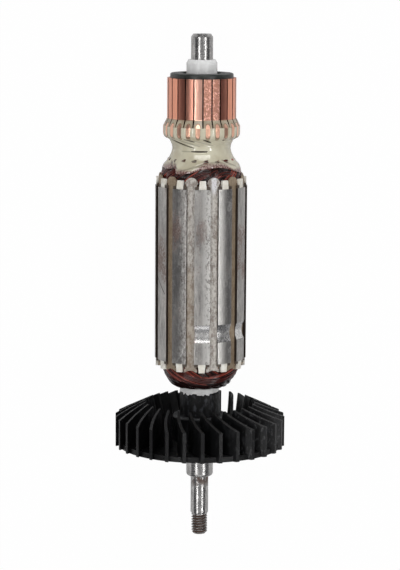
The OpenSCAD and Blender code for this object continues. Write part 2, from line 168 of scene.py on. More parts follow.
class Finish:
    def __init__(self, name):
        self.material = bpy.data.materials.new(name)
        self.material.use_nodes = True
        self.tree = self.material.node_tree
        self.tree.nodes.clear()
        self.position = self.node("ShaderNodeTexCoord", {}, {}, "Object")

    # kind of node, its settings, the values or links of its sockets, and the output that is used
    def node(self, kind, settings, sockets, output=0):
        made = self.tree.nodes.new(kind)
        for key, value in settings.items():
            if key == "stops":
                self.fillRamp(made.color_ramp, value)
            elif key == "interpolation" and kind == "ShaderNodeValToRGB":
                made.color_ramp.interpolation = value
            else:
                setattr(made, key, value)
        for key, value in sockets.items():
            if isinstance(value, Value):
                self.tree.links.new(value.socket, made.inputs[key])
            else:
                made.inputs[key].default_value = value
        return Value(self, made.outputs[output]) if len(made.outputs) else None

    def fillRamp(self, ramp, stops):
        while len(ramp.elements) < len(stops):
            ramp.elements.new(0.5)
        for element, (stopAt, colour) in zip(ramp.elements, stops):
            element.position = stopAt
            element.color = colour

    def dot(self, vector, direction):
        sockets = {0: vector, 1: tuple(direction)}
        return self.node("ShaderNodeVectorMath", {"operation": "DOT_PRODUCT"}, sockets, "Value")

    # station, down and across in millimetres, from the object coordinates in metres
    def shaftCoordinates(self):
        parts = []
        for direction in (along, down, across):
            parts.append(self.dot(self.position, 1000 * direction) - float(1000 * tip @ direction))
        return parts

    # millimetres along and across the shaft, each axis multiplied by its own factor
    def stretched(self, alongFactor, sideFactor):
        s, u, v = self.shaftCoordinates()
        sockets = {0: s * alongFactor, 1: u * sideFactor, 2: v * sideFactor}
        return self.node("ShaderNodeCombineXYZ", {}, sockets)

    def noise(self, vector, scale, detail=3.0, roughness=0.55):
        sockets = {"Vector": vector, "Scale": scale, "Detail": detail, "Roughness": roughness}
        return self.node("ShaderNodeTexNoise", {}, sockets, "Fac")

    # radius from the shaft's axis, sine and cosine of the angle from the front, and degrees from the front
    def aroundShaft(self):
        s, u, v = self.shaftCoordinates()
        radius = (u * u + v * v).maths("SQRT")
        side = (v * math.cos(front) - u * math.sin(front)) / radius
        facing = (u * math.cos(front) + v * math.sin(front)) / radius
        return s, radius, side, facing, side.maths("ARCTAN2", facing) * (180 / math.pi)

    # cosine between the surface's normal and the direction away from the shaft
    def outward(self):
        s, u, v = self.shaftCoordinates()
        normal = self.node("ShaderNodeNewGeometry", {}, {}, "Normal")
        radius = (u * u + v * v).maths("SQRT")
        return (self.dot(normal, down) * u + self.dot(normal, across) * v) / radius

    # one of the colours for each equal part of the half turn after the angle first, and once more behind
    def banded(self, degrees, first, colours):
        part = ((degrees - first) / 180.0).maths("FRACT")
        stops = [(k / len(colours), colour + (1,)) for k, colour in enumerate(colours)]
        settings = {"stops": stops, "interpolation": "CONSTANT"}
        return self.node("ShaderNodeValToRGB", settings, {0: part})

    # 1 inside a window of soft edges, 0 outside
    def window(self, value, low, high, soft):
        return self.ease(value, low - soft, low + soft) * (1 - self.ease(value, high - soft, high + soft))

    # the sum of several windows
    def lanes(self, value, bands):
        windows = [self.window(value, *band) for band in bands]
        return sum(windows[1:], windows[0])

    def ease(self, value, low, high):
        # smooth step from 0 at low to 1 at high
        sockets = {"Value": value, "From Min": low, "From Max": high}
        return self.node("ShaderNodeMapRange", {"interpolation_type": "SMOOTHSTEP"}, sockets)

    def blend(self, factor, low, high):
        sockets = {0: factor, 6: low, 7: high}
        return self.node("ShaderNodeMix", {"data_type": "RGBA"}, sockets, 2)

    def attribute(self, name):
        return self.node("ShaderNodeAttribute", {"attribute_name": name}, {}, "Fac")

    def bump(self, height, distance, strength=1.0):
        sockets = {"Height": height, "Distance": distance, "Strength": strength}
        return self.node("ShaderNodeBump", {}, sockets)

    def surface(self, sockets):
        shader = self.node("ShaderNodeBsdfPrincipled", {}, sockets)
        self.node("ShaderNodeOutputMaterial", {}, {0: shader})
        return self.material


# Places that the finishes share.

fanFoot = float(span("fan")[0])

# stations of the bars' upper end, of the track's foot and of the hooks' upper end, and the degrees
# from the front at which the first gap between bars stands
barStation, barRadius, barAngle = unrolled("commutator_bar_01")
barTop = float(barStation.max())
flareTop = barTop - float(mounts["brush_track"]["dims"]["length_mm"])
hookTop = float(barStation[barRadius > barRadius.max() - 0.02].max())
toothPitch = 30.0
barPitch = 15.0
# a wedge stands in the middle between two teeth
wedgeMiddle = math.degrees(float(unrolled("slot_wedge_01")[2].mean()))
firstTooth = wedgeMiddle - toothPitch / 2 - stageSetup["frontAngle"]
toothPhase = firstTooth - toothPitch / 2
barMiddle = math.degrees((barAngle.min() + barAngle.max()) / 2)
firstGap = (barMiddle - barPitch / 2 - stageSetup["frontAngle"] + 90.0) % barPitch - 90.0


def shaftSteel():
    f = Finish("shaft_steel")
    s, radius, *_ = f.aroundShaft()
    turning = f.noise(f.stretched(9.0, 0.25), 1.0, 2.0)
    stain = f.noise(f.stretched(0.35, 0.8), 1.0, 4.0)
    journalCorner = 1.2
    seatEnd = fanFoot - float(mounts["drive_end_journal"]["dims"]["length_mm"]) - journalCorner
    nearSeatEnd = f.ease(s, seatEnd - 4.5, seatEnd - 1.5) * (1 - f.ease(s, seatEnd - 0.3, seatEnd + 0.1))
    inGroove = (1 - f.ease(radius, 2.40, 2.66)) * (1 - f.ease(s, 7.5, 8.5))
    threadRust = (1 - f.ease(s, 7.0, 9.5)) * f.ease(stain, 0.42, 0.62)
    rust = nearSeatEnd * f.ease(stain, 0.46, 0.56) * 0.85 + inGroove * 0.95 + threadRust * 0.15
    rust = rust.maths("MINIMUM", 1.0)
    bright = f.blend(f.ease(stain, 0.35, 0.7), (0.34, 0.335, 0.33, 1), (0.52, 0.51, 0.50, 1))
    colour = f.blend(rust, bright, (0.085, 0.038, 0.02, 1))
    return f.surface({
        "Base Color": colour,
        "Metallic": 1 - rust * 0.9,
        "Roughness": 0.21 + turning * 0.12 + rust * 0.4,
        "Normal": f.bump(turning, 0.00003, 0.5),
    })


def fanPlastic():
    f = Finish("fan_plastic")
    s, radius, side, *_ = f.aroundShaft()
    smudge = f.noise(f.stretched(0.25, 0.4), 1.0, 4.0)
    grain = f.noise(f.stretched(1.2, 6.0), 1.0, 3.0)
    dusty = f.ease(smudge, 0.50, 0.75)
    # lighter grey patches on the fan's right-hand side
    lighterOnRight = f.ease(f.noise(f.stretched(0.5, 0.9), 1.0, 4.0), 0.54, 0.70) * f.ease(side, 0.2, 0.7)
    colour = f.blend(dusty, (0.0035, 0.0036, 0.0040, 1), (0.013, 0.0135, 0.015, 1))
    colour = f.blend(lighterOnRight * 0.6, colour, (0.075, 0.077, 0.08, 1))
    # pale smudges on the hub
    hub = (1 - f.ease(radius, 7.7, 8.4)) * f.ease(f.noise(f.stretched(0.35, 0.6), 1.0, 4.0), 0.5, 0.68)
    colour = f.blend(hub * 0.8, colour, (0.058, 0.062, 0.070, 1))
    # the top of the hub's foot is scuffed
    footTop = f.window(radius, 8.4, 10.5, 0.3) * f.window(s, fanFoot + 11.2, fanFoot + 11.8, 0.2)
    footTop = footTop * f.ease(smudge, 0.3, 0.5)
    colour = f.blend(footTop * 0.7, colour, (0.085, 0.088, 0.092, 1))
    # the rim below the blades is darker
    rim = 1 - f.ease(s, fanFoot + 2.0, fanFoot + 2.3)
    darkerRim = rim * f.ease(f.outward(), 0.8, 0.95) * (1 - f.ease(radius, 30.6, 30.9))
    colour = f.blend(darkerRim, colour, (0.0015, 0.0015, 0.0018, 1))
    return f.surface({
        "Base Color": colour,
        "Roughness": 0.38 + dusty * 0.2 + grain * 0.1,
        "Specular IOR Level": 0.3,
        "Normal": f.bump(grain, 0.00008, 0.4),
    })


def whiteInsulation():
    f = Finish("white_insulation")
    patch = f.noise(f.position, 420.0, 4.0)
    colour = f.blend(f.ease(patch, 0.3, 0.75), (0.84, 0.84, 0.83, 1), (0.93, 0.93, 0.92, 1))
    return f.surface({"Base Color": colour, "Roughness": 0.26, "Normal": f.bump(patch, 0.00005, 0.3)})


# Wear of the core, with painted highlights and painted shade: bands are degrees from the front, low, high
# and softness; a stain's stations are millimetres below the commutator end, low, high and softness.
coreWearAndShading = {
    "paintedHighlight": [(2.0, 13.0, 3.0), (19.0, 31.0, 3.0)],
    "paintedShade": [(-42.0, -27.0, 3.0), (34.0, 43.0, 2.5)],
    "mottled": [(-27.0, -17.0, 3.0), (6.0, 20.0, 3.0)],
    "stains": [
        (21, 10, 4, [(-42, -25, 4)]), (21, 11, 4, [(-7, 8, 3)]), (36, 14, 6, [(-75, -47, 2), (50, 75, 2)]),
    ],
    "cutMiddle": 52.2,
    "cutFoot": 8.1,
}


def coreSteel():
    f = Finish("core_steel")
    s, radius, _, _, degrees = f.aroundShaft()
    face = f.ease(f.outward(), 0.45, 0.75)
    greatest = float(unrolled("core")[1].max())
    milled = (1 - f.ease(radius, greatest - 0.06, greatest - 0.02)) * face
    blotch = f.noise(f.stretched(0.09, 0.2), 1.0, 5.0, 0.62)
    speck = f.noise(f.stretched(1.1, 1.7), 1.0, 4.0, 0.65)
    streak = f.noise(f.stretched(0.25, 1.6), 1.0, 3.0)
    stacked = f.noise(f.stretched(7.0, 0.15), 1.0, 1.0)
    tone = f.ease(blotch * 0.6 + streak * 0.4, 0.36, 0.64)
    steel = f.blend(tone, (0.27, 0.26, 0.25, 1), (0.51, 0.49, 0.465, 1))
    # painted highlights in lanes right of the middle, painted shade at the teeth's far edges
    paintedHighlight = f.lanes(degrees, coreWearAndShading["paintedHighlight"])
    paintedShade = f.lanes(degrees, coreWearAndShading["paintedShade"])
    steel = f.blend(paintedHighlight * 0.6, steel, (0.80, 0.785, 0.75, 1))
    steel = f.blend(paintedShade * 0.4, steel, (0.13, 0.13, 0.135, 1))
    # brown stains on the left, the middle and the two outer teeth
    stains = []
    for low, high, soft, bands in coreWearAndShading["stains"]:
        stains.append(f.window(s, coreEnd - low, coreEnd - high, soft) * f.lanes(degrees, bands))
    leftStain, middleStain, outerStain = stains
    places = leftStain * 1.1 + middleStain * 1.3 + outerStain * 0.8
    rust = f.ease(blotch * 0.5 + speck * 0.4 + streak * 0.1 + places * 0.13, 0.55, 0.67)
    steel = f.blend(rust * (0.85 - middleStain * 0.25), steel, (0.15, 0.088, 0.070, 1))
    # pale mottling at the ends and along the edges that face right
    chalk = f.ease(speck * 0.7 + f.noise(f.stretched(0.16, 0.5), 1.0, 4.0) * 0.3, 0.52, 0.60)
    nearEnds = f.ease(s, coreEnd - 16, coreEnd - 3) + (1 - f.ease(s, coreStart + 2, coreStart + 12)) * 0.7
    edges = f.lanes(degrees, coreWearAndShading["mottled"])
    steel = f.blend(chalk * (0.15 + nearEnds * 0.25 + edges * 0.45), steel, (0.66, 0.65, 0.63, 1))
    pits = f.ease(f.noise(f.stretched(0.8, 1.3), 1.0, 4.0, 0.7), 0.52, 0.58)
    pitted = pits * (edges * 0.55 + middleStain * 0.3 + 0.06)
    steel = f.blend(pitted, steel, (0.13, 0.11, 0.10, 1))
    # a dark scratch across the tooth at the left edge
    across = ((s - (coreStart + 28.0)) * 3.0 + (degrees + 59.5)).maths("ABSOLUTE")
    scratch = (1 - f.ease(across, 0.5, 1.4)) * f.window(degrees, -68.0, -51.0, 1.0)
    steel = f.blend(scratch * 0.8, steel, (0.05, 0.04, 0.04, 1))
    steel = f.blend(milled, steel, (0.55, 0.54, 0.53, 1))
    # the balance cut: painted highlight strokes in its lower half, painted shade in its upper half and on
    # its lower wall, and a rusty spot at its left
    cutMiddle = coreEnd - coreWearAndShading["cutMiddle"]
    cutFoot = coreStart + coreWearAndShading["cutFoot"]
    cutHighlightStrokes = f.ease(f.noise(f.stretched(0.7, 2.2), 1.0, 3.0), 0.46, 0.56)
    lowerHalf = 1 - f.ease(s, cutMiddle - 0.8, cutMiddle + 0.4)
    steel = f.blend(milled * lowerHalf * cutHighlightStrokes * 0.8, steel, (0.86, 0.85, 0.83, 1))
    steel = f.blend(milled * (1 - lowerHalf) * 0.5, steel, (0.30, 0.30, 0.31, 1))
    shadedLowerWall = 1 - f.ease(s, cutFoot, cutFoot + 0.3)
    steel = f.blend(milled * shadedLowerWall * 0.92, steel, (0.06, 0.06, 0.06, 1))
    spot = milled * f.window(degrees, -9.5, -5.5, 2.0) * f.ease(speck, 0.38, 0.6)
    steel = f.blend(spot * 0.5, steel, (0.20, 0.09, 0.06, 1))
    colour = f.blend(face, (0.020, 0.013, 0.010, 1), steel)
    return f.surface({
        "Base Color": colour,
        "Metallic": face * (0.9 - chalk * 0.3 - rust * 0.35),
        "Roughness": 0.28 + speck * 0.14 + rust * 0.12 - milled * 0.08,
        "Normal": f.bump(stacked * 0.45 + speck * 0.55, 0.00009, 0.6),
    })


def endPlate():
    f = Finish("end_plate")
    patch = f.noise(f.position, 500.0, 3.0)
    _, radius, _, _, degrees = f.aroundShaft()
    colour = f.blend(f.ease(patch, 0.35, 0.7), (0.80, 0.76, 0.66, 1), (0.94, 0.925, 0.86, 1))
    # between the tabs the plate's edge is painted dark brown, for dirt and for painted shade under the
    # winding; teeth stand 30 degrees apart
    share = ((degrees - toothPhase) / toothPitch).maths("FRACT")
    fromTooth = (share * toothPitch - toothPitch / 2).maths("ABSOLUTE")
    soakedAndShaded = f.ease(fromTooth, 4.3, 5.1) * f.ease(radius, 14.5, 15.4)
    colour = f.blend(soakedAndShaded, colour, (0.075, 0.055, 0.04, 1))
    return f.surface({"Base Color": colour, "Roughness": 0.45})


def coilEnamel():
    f = Finish("coil_enamel")
    tone = f.attribute("tone")
    patch = f.noise(f.position, 260.0, 3.0)
    mixed = tone * 0.7 + patch * 0.45
    colour = f.blend(f.ease(mixed, 0.25, 0.65), (0.012, 0.0035, 0.003, 1), (0.082, 0.0125, 0.0085, 1))
    colour = f.blend(f.ease(mixed, 0.74, 0.92), colour, (0.34, 0.060, 0.038, 1))
    return f.surface({
        "Base Color": colour,
        "Roughness": 0.2,
        "Coat Weight": 0.3,
        "Coat Roughness": 0.1,
    })


def leadResin():
    f = Finish("resin")
    thin = f.attribute("thin")
    gap = f.attribute("gap")
    cloud = f.noise(f.position, 160.0, 4.0)
    strandLine = f.noise(f.stretched(0.9, 1.8), 1.0, 3.0)
    cream = f.blend(f.ease(cloud, 0.3, 0.7), (0.57, 0.52, 0.375, 1), (0.71, 0.675, 0.525, 1))
    pink = f.blend(f.ease(strandLine, 0.38, 0.64), (0.13, 0.045, 0.04, 1), (0.44, 0.32, 0.28, 1))
    colour = f.blend(thin, cream, pink)
    # painted shade in the resin's grooves, slit and fold
    colour = f.blend(gap, colour, (0.022, 0.010, 0.007, 1))
    return f.surface({
        "Base Color": colour,
        "Roughness": 0.13,
        "Coat Weight": 0.5,
        "Coat Roughness": 0.04,
        "Normal": f.bump(cloud, 0.0003, 0.25),
    })


def moulding():
    f = Finish("moulding")
    patch = f.noise(f.position, 600.0, 4.0)
    colour = f.blend(f.ease(patch, 0.4, 0.7), (0.014, 0.018, 0.016, 1), (0.035, 0.041, 0.037, 1))
    # between the bars the floor of the slots is dark red
    s, radius, *_ = f.aroundShaft()
    outside = f.ease(radius, 9.0, 9.15) * (1 - f.ease(s, barTop - 0.05, barTop))
    colour = f.blend(outside, colour, (0.020, 0.004, 0.002, 1))
    return f.surface({"Base Color": colour, "Roughness": 0.36, "Normal": f.bump(patch, 0.0001, 0.4)})


def slotLiner():
    f = Finish("slot_liner")
    patch = f.noise(f.position, 500.0, 3.0)
    colour = f.blend(f.ease(patch, 0.35, 0.7), (0.085, 0.04, 0.02, 1), (0.21, 0.125, 0.07, 1))
    return f.surface({"Base Color": colour, "Roughness": 0.45})


def slotWedge():
    f = Finish("slot_wedge")
    s, _, _, facing, degrees = f.aroundShaft()
    broad = f.noise(f.stretched(0.1, 0.5), 1.0, 3.0)
    fine = f.noise(f.stretched(0.8, 1.2), 1.0, 4.0, 0.75)
    coarse = f.noise(f.stretched(0.22, 0.5), 1.0, 4.0)
    fleck = fine * 0.6 + coarse * 0.4
    brown = f.blend(f.ease(fleck, 0.35, 0.65), (0.23, 0.165, 0.105, 1), (0.37, 0.29, 0.20, 1))
    tan = f.blend(f.ease(fleck, 0.40, 0.58), (0.25, 0.21, 0.18, 1), (0.58, 0.55, 0.505, 1))
    # the two strips at the front are painted pale as lit and the strips at the sides brown as shaded, the
    # left one less pale in its lower part
    lowerLeft = (1 - f.ease(s, coreEnd - 36, coreEnd - 24)) * (1 - f.ease(degrees, 0, 4))
    paintedLitFront = f.ease(facing + broad * 0.25, 0.90, 1.08) * (1 - lowerLeft * 0.55)
    colour = f.blend(paintedLitFront, brown, tan)
    # chalk-white smear on the strip right of the middle, at its upper end
    smear = f.window(degrees, 14.0, 21.0, 1.5) * f.ease(s, coreEnd - 3, coreEnd + 1)
    smear = smear * f.ease(fleck, 0.4, 0.5)
    colour = f.blend(smear * 0.9, colour, (0.78, 0.78, 0.80, 1))
    return f.surface({"Base Color": colour, "Roughness": 0.46, "Normal": f.bump(fleck, 0.0002, 0.5)})


def barCopper():
    f = Finish("bar_copper")
    s, _, _, _, degrees = f.aroundShaft()
    scratch = f.noise(f.stretched(0.35, 3.2), 1.0, 3.0)
    pitted = f.noise(f.stretched(1.3, 1.5), 1.0, 4.0, 0.7)
    outward = f.outward()
    # the track's bars, each painted its own shade, for wear and for painted reflections: palest where the
    # lamps reflect, dark beside them
    salmon, palest = (0.90, 0.40, 0.27), (0.95, 0.56, 0.44)
    dark, middling = (0.50, 0.20, 0.145), (0.50, 0.235, 0.175)
    barWearAndReflection = [salmon, salmon, salmon, dark, middling, palest, palest, palest, dark, salmon, salmon, palest]
    base = f.banded(degrees, firstGap, barWearAndReflection)
    rough = f.window(degrees, 2.0, 32.0, 0.3)
    flake = f.ease(pitted, 0.48, 0.60)
    base = f.blend(f.ease(scratch, 0.3, 0.7) * 0.35, base, (0.62, 0.26, 0.18, 1))
    base = f.blend(rough * (1 - flake) * 0.75, base, (0.40, 0.16, 0.11, 1))
    # resin over the flare; the hooks stand out of it as ovals with a brown outline
    bar = ((degrees - firstGap) / barPitch).maths("FRACT") * barPitch - barPitch / 2
    hookRadius, halfWidth, halfHeight, belowTop = 14.1, 0.9, 2.6, 1.1
    beside = bar * (hookRadius * math.pi / 180) / halfWidth
    above = (s - (hookTop - belowTop)) / halfHeight
    fromHook = beside.maths("POWER", 2.0) + above.maths("POWER", 4.0)
    inHook = 1 - f.ease(fromHook, 0.7, 1.0)
    rim = f.window(fromHook, 0.62, 1.25, 0.25)
    flare = 1 - f.ease(s, flareTop - 0.35, flareTop + 0.05)
    cloud = f.noise(f.position, 300.0, 3.0)
    cream = f.blend(f.ease(cloud, 0.3, 0.7), (0.34, 0.27, 0.185, 1), (0.52, 0.45, 0.33, 1))
    colour = f.blend(flare * (1 - inHook), base, cream)
    colour = f.blend(flare * rim * 0.75, colour, (0.24, 0.13, 0.07, 1))
    colour = f.blend(flare * inHook, colour, (0.86, 0.50, 0.36, 1))
    # the walls between the bars are dark red, and pale beside the hooks where resin fills the slots
    wall = 1 - f.ease(outward, 0.3, 0.6)
    wall = wall * (1 - f.ease(s, barTop - 0.1, barTop - 0.02))
    besideHook = 1 - f.ease(s, hookTop + 0.9, hookTop + 1.3)
    slotWallColour = f.blend(besideHook, (0.045, 0.008, 0.004, 1), (0.30, 0.25, 0.17, 1))
    colour = f.blend(wall, colour, slotWallColour)
    coated = flare * (1 - inHook)
    return f.surface({
        "Base Color": colour,
        "Metallic": (1 - coated) * (1 - wall * 0.7),
        "Roughness": 0.3 + rough * 0.06 - coated * 0.1,
        "Normal": f.bump(pitted * (rough * 0.9 + 0.1) + scratch * 0.15, 0.0003, 0.7),
    })


finishes = {
    "shaft_steel": shaftSteel(),
    "fan_plastic": fanPlastic(),
    "white_insulation": whiteInsulation(),
    "core_steel": coreSteel(),
    "end_plate": endPlate(),
    "coil_enamel": coilEnamel(),
    "resin": leadResin(),
    "moulding": moulding(),
    "slot_liner": slotLiner(),
    "slot_wedge": slotWedge(),
    "bar_copper": barCopper(),
}
print("finishes made")


# Surfaces on grids.

def gridFaces(rows, columns, wrapRows=False):
    # the four corners of each square of a grid, turned so that it faces outwards
    i = np.arange(rows if wrapRows else rows - 1)[:, None]
    j = np.arange(columns)[None, :]
    here, nextRow = i * columns, (i + 1) % rows * columns
    nextColumn = (j + 1) % columns
    corners = [here + j, here + nextColumn, nextRow + nextColumn, nextRow + j]
    return np.stack([np.broadcast_to(c, (i.size, j.size)) for c in corners], -1).reshape(-1, 4)


def makePiece(name, points, faceSets, slotName, replaced=(), sharpAngle=35, attributes=None):
    mesh = bpy.data.meshes.new(name)
    corners = points.reshape(-1, 3)
    loops = np.concatenate([faces.ravel() for faces in faceSets]).astype(np.int32)
    sizes = np.concatenate([np.full(len(faces), faces.shape[1]) for faces in faceSets])
    mesh.vertices.add(len(corners))
    mesh.vertices.foreach_set("co", corners.astype(np.float32).ravel())
    mesh.loops.add(len(loops))
    mesh.loops.foreach_set("vertex_index", loops)
    mesh.polygons.add(len(sizes))
    mesh.polygons.foreach_set("loop_start", np.concatenate([[0], np.cumsum(sizes)[:-1]]).astype(np.int32))
    for key, values in (attributes or {}).items():
        layer = mesh.attributes.new(key, "FLOAT", "POINT")
        layer.data.foreach_set("value", np.asarray(values, np.float32).ravel())
    mesh.update(calc_edges=True)
    mesh.validate()
    mesh.shade_smooth()
    mesh.set_sharp_from_angle(angle=math.radians(sharpAngle))
    mesh.materials.append(finishes[slotName])
    piece = bpy.data.objects.new(name, mesh)
    bpy.context.scene.collection.objects.link(piece)
    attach(piece, "root")
    if replaced:
        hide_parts(*replaced)
    return piece


def turned(name, stations, radii, columns, slotName, replaced=(), sharpAngle=35):
    # radius as a function of station and angle; stations one for each row, radii one for each row
    # or one for each point of the grid; both ends are closed by a disc
    angles = np.arange(columns) * 2 * math.pi / columns
    radii = np.asarray(radii)
    grid = np.broadcast_to(radii if radii.ndim == 2 else radii[:, None], (len(stations), columns))
    points = place(np.asarray(stations)[:, None], grid, angles[None, :])
    around = np.arange(columns)[None, :]
    faceSets = [gridFaces(len(stations), columns), around[:, ::-1], around + (len(stations) - 1) * columns]
    return makePiece(name, points, faceSets, slotName, replaced, sharpAngle)


# The shaft.

threadShape = {"pitch": 1.0, "depth": 0.61, "rowStep": 0.05, "columns": 96, "runOut": 0.9}


def shaftProfile():
    # stations and radii of the turned outline, each step taken from the radius that came before
    station, radius, _ = unrolled("shaft")
    pairs = np.unique(np.round(np.stack([station, radius], -1), 3), axis=0)
    pairs = pairs[pairs[:, 1] > 0.5]
    ordered = []
    for level in np.unique(pairs[:, 0]):
        here = pairs[pairs[:, 0] == level]
        stepDown = bool(ordered) and abs(here[-1, 1] - ordered[-1][1]) < abs(here[0, 1] - ordered[-1][1])
        ordered.extend(here[::-1] if stepDown else here)
    return np.array(ordered)


def makeShaft():
    # in the thread the radius is the outline's, less depth * groove(station / pitch - angle / turn),
    # where groove is a trapezoid with a narrow flat crest and a wider flat root
    outlinePoints = shaftProfile()
    threadRadius = mounts["pinion_thread"]["dims"]["r_mm"]
    threadEnd = outlinePoints[np.abs(outlinePoints[:, 1] - threadRadius) < 0.01, 0].max()
    threadStations = np.arange(0, threadEnd, threadShape["rowStep"])
    columns = threadShape["columns"]
    angles = np.arange(columns) * 2 * math.pi / columns
    chamfered = np.interp(threadStations, outlinePoints[:, 0], outlinePoints[:, 1])[:, None]
    turn = threadStations[:, None] / threadShape["pitch"] - angles[None, :] / (2 * math.pi)
    fromCrest = np.abs(turn - np.round(turn)) * 2
    groove = np.clip((fromCrest - 0.1) / 0.62, 0, 1)
    fade = 1 - smoothStep(threadEnd - threadShape["runOut"], threadEnd - 0.1, threadStations)[:, None]
    threaded = np.minimum(chamfered, threadRadius - threadShape["depth"] * groove * fade)
    rest = outlinePoints[outlinePoints[:, 0] > threadEnd - 0.001]
    stations = np.concatenate([threadStations, rest[:, 0]])
    radii = np.concatenate([threaded, np.broadcast_to(rest[:, 1:2], (len(rest), columns))])
    return turned("shaft_turned", stations, radii, columns, "shaft_steel", ["shaft"], 28)


makeShaft()
print("shaft made")


# The winding heads: twisted bundles of wire round a dark inner form.

wire = {"diameter": 0.52, "sides": 6, "segments": 26}


def tubes(paths, radiusAcross, radiusOut, sides):
    # each path carries an ellipse: point = path + a cos(p) * across + b sin(p) * out, where out is square
    # to the path and leans away from the shaft; paths is paths x points x 3, in metres
    tangent = np.gradient(paths, axis=1)
    tangent = tangent / np.linalg.norm(tangent, axis=-1, keepdims=True)
    fromTip = paths - tip
    away = fromTip - (fromTip @ along)[..., None] * along
    sideways = np.cross(tangent, away)
    sideways = sideways / np.linalg.norm(sideways, axis=-1, keepdims=True)
    out = np.cross(sideways, tangent)
    phase = np.arange(sides) * 2 * math.pi / sides
    ring = (radiusAcross * np.cos(phase))[:, None] * sideways[..., None, :]
    ring = ring + (radiusOut * np.sin(phase))[:, None] * out[..., None, :]
    points = paths[..., None, :] + 0.001 * ring
    count, length = paths.shape[:2]
    one = gridFaces(length, sides)
    offsets = np.arange(count)[:, None, None] * length * sides
    faces = (one[None] + offsets).reshape(-1, 4)
    ends = np.arange(sides)[::-1][None, :] + offsets[:, 0] 
    tops = np.arange(sides)[None, :] + offsets[:, 0] + (length - 1) * sides
    return points.reshape(-1, 3), [faces, np.concatenate([ends, tops])]


def bundleStrands(centre, profile, shape, rng):
    # a strand's place in its bundle turns round an ellipse: width/2 cos(q) in the surface and
    # depth/2 sin(q) out of it, with q = q0 + twist * t; centre holds angle, station and depth below
    # the surface
    t = np.linspace(0, 1, wire["segments"] + 1)
    angle, station, sunk = centre
    surface = np.interp(station, *profile)
    slopeAcross = np.gradient(angle) * surface
    slopeAlong = np.gradient(station)
    length = np.hypot(slopeAcross, slopeAlong)
    count = shape["strands"]
    q = np.arange(count)[:, None] * 2 * math.pi / count + shape["twist"] * t + rng.uniform(0, 6.28)
    swing = rng.uniform(-1, 1, (count, 1))
    waves = rng.uniform(4, 9, (count, 1))
    waver = swing * np.sin(t * waves + rng.uniform(0, 6, (count, 1)))
    inSurface = shape["width"] / 2 * np.cos(q) + shape["waver"] * waver
    outOf = shape["depth"] / 2 * np.sin(q) + shape["waver"] * 0.5 * np.roll(waver, 3, 0)
    strandAngle = angle - inSurface * slopeAlong / length / surface
    strandStation = station + inSurface * slopeAcross / length
    strandRadius = np.interp(strandStation, *profile) - sunk + outOf
    return place(strandStation, strandRadius, strandAngle)


heads = {
    "fan": {
        "node": "winding_head_fan_end", "name": "winding_strands_fan_end", "bundles": 12, "start": -31.0,
        "sweep": 150.0, "reach": 8.8, "entry": 1.8, "strands": 22, "width": 4.4, "depth": 2.0, "twist": 2.2,
        "waver": 0.26,
        # height from the shaft's flange and radius of the wires' surface
        "surface": [
            (0, 8.2), (0.5, 9.2), (1.2, 10.6), (2.1, 12.0), (3.2, 12.9), (4.6, 13.6), (6.4, 14.1),
            (9.2, 14.6),
        ],
        "sunkStart": 1.0, "sunkEnd": 3.4, "inner": 1.9, "seed": 5,
        # bundles wound last: start, sweep, reach, depth of their centre below the surface
        "last": [(-68.0, 146.0, 7.8, 0.5), (112.0, 146.0, 7.8, 0.5)],
    },
    "commutator": {
        "node": "winding_head_commutator_end", "name": "winding_strands_commutator_end", "bundles": 18,
        "start": -44.0, "sweep": 36.0, "reach": 8.2, "entry": 1.8, "strands": 22, "width": 4.2,
        "depth": 2.0,
        "twist": 1.8, "waver": 0.14,
        "surface": [(0, 14.85), (1.2, 14.95), (2.6, 15.0), (3.4, 14.9), (4.2, 14.5), (6.2, 13.4)],
        "sunkStart": 1.1, "sunkEnd": 1.9, "inner": 1.8, "seed": 8,
        "rising": True,
        "last": [
            (-16.0, 30.0, 6.6, 1.15), (14.0, 34.0, 6.4, 1.2), (164.0, 30.0, 6.6, 1.15),
            (194.0, 34.0, 6.4, 1.2),
        ],
    },
}


